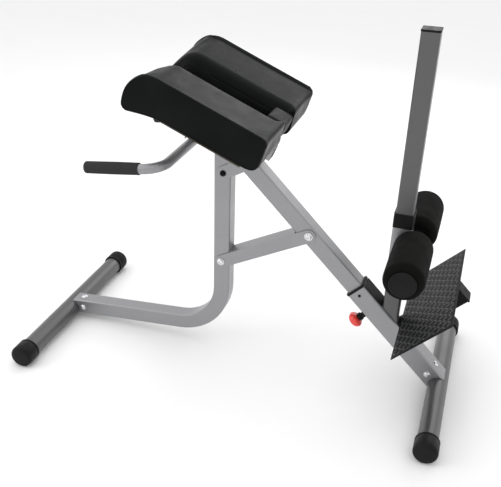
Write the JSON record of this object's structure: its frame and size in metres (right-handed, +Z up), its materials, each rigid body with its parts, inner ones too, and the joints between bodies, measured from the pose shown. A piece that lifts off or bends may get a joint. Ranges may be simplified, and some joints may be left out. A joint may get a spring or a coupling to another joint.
{
  "type": "roman chair",
  "caption": "Inclined back-extension bench with split thigh pads on a J-shaped frame, a telescoping boom, a foot plate and a height-adjustable ankle roller carriage.",
  "frame": {"origin": "on the floor, under the middle of the machine's box", "axes": "+X to the rear along the machine, from the front stabilizer to the rear one; +Y to the far side; +Z up; the mid-plane is Y = 0"},
  "size_m": [1.3066, 0.676, 1.0513],
  "materials": {
    "silver_paint": "satin",
    "grey_paint": "satin",
    "black_steel": "satin",
    "black_plastic": "matte",
    "zinc_fasteners": "satin",
    "black_vinyl": "satin",
    "plywood": "matte",
    "black_foam": "matte",
    "grip_foam": "matte",
    "red_knob": "gloss"
  },
  "bodies": {
    "front_frame": {"front_stabilizer": "grey_paint", "front_cap_near": "black_plastic", "front_cap_far": "black_plastic", "j_frame": "silver_paint", "top_bracket": "silver_paint", "brace_channel": "silver_paint", "pivot_bolt": "black_steel", "brace_bolt_front": "zinc_fasteners", "brace_bolt_rear": "zinc_fasteners", "front_screw_near": "zinc_fasteners", "front_screw_far": "zinc_fasteners", "front_screw_top": "zinc_fasteners", "boom_inner": "silver_paint", "pad_spine": "silver_paint", "pad_crossbar_front": "silver_paint", "pad_crossbar_rear": "silver_paint", "pad_board_near": "plywood", "pad_board_far": "plywood", "pad_bolt_front_near": "zinc_fasteners", "pad_bolt_front_far": "zinc_fasteners", "pad_bolt_rear_near": "zinc_fasteners", "pad_bolt_rear_far": "zinc_fasteners", "pad_near": "black_vinyl", "pad_far": "black_vinyl", "spine_end_cover": "black_plastic", "handle_bar": "silver_paint", "handle_strut": "silver_paint", "grip_near": "grip_foam", "grip_far": "grip_foam"},
    "rear_unit": {"rear_stabilizer": "grey_paint", "rear_cap_near": "black_plastic", "rear_cap_far": "black_plastic", "rear_screw_near": "zinc_fasteners", "rear_screw_far": "zinc_fasteners", "rear_screw_top": "zinc_fasteners", "boom_outer": "silver_paint", "boom_bushing": "black_plastic", "boom_guard": "black_plastic", "boom_rivet": "black_steel", "boom_pin_barrel": "black_steel", "post": "grey_paint", "post_plug": "black_plastic", "foot_plate": "black_steel", "plate_support": "black_steel", "support_plug": "black_plastic"},
    "boom_pin": {"boom_pin_knob": "red_knob"},
    "carriage": {"carriage_sleeve": "silver_paint", "carriage_collar": "black_plastic", "roller_axle": "silver_paint", "axle_strap": "black_steel", "axle_cap_near": "black_plastic", "axle_cap_far": "black_plastic", "thrust_washer_near": "black_plastic", "thrust_washer_far": "black_plastic", "carriage_pin_barrel": "black_steel"},
    "carriage_pin": {"carriage_pin_knob": "red_knob"},
    "roller_near": {"roller_near": "black_foam"},
    "roller_far": {"roller_far": "black_foam"}
  },
  "joints": [
    {"name": "boom_slide", "type": "slide", "parent": "front_frame", "child": "rear_unit", "axis": [-0.7102, 0, 0.704], "range_m": [-0.075, 0.075]},
    {"name": "boom_pin_pull", "type": "slide", "parent": "rear_unit", "child": "boom_pin", "axis": [-0.704, 0, -0.7102], "range_m": [0, 0.01], "stiffness_N_per_m": 1500, "springref_m": -0.012},
    {"name": "carriage_slide", "type": "slide", "parent": "rear_unit", "child": "carriage", "axis": [0, 0, 1], "range_m": [-0.08, 0.44]},
    {"name": "carriage_pin_pull", "type": "slide", "parent": "carriage", "child": "carriage_pin", "axis": [0, 1, 0], "range_m": [0, 0.01], "stiffness_N_per_m": 1500, "springref_m": -0.012},
    {"name": "roller_near_spin", "type": "hinge", "parent": "carriage", "child": "roller_near", "pos_m": [0.4816, 0, 0.484], "axis": [0, 1, 0], "continuous": true},
    {"name": "roller_far_spin", "type": "hinge", "parent": "carriage", "child": "roller_far", "pos_m": [0.4816, 0, 0.484], "axis": [0, 1, 0], "continuous": true}
  ]
}
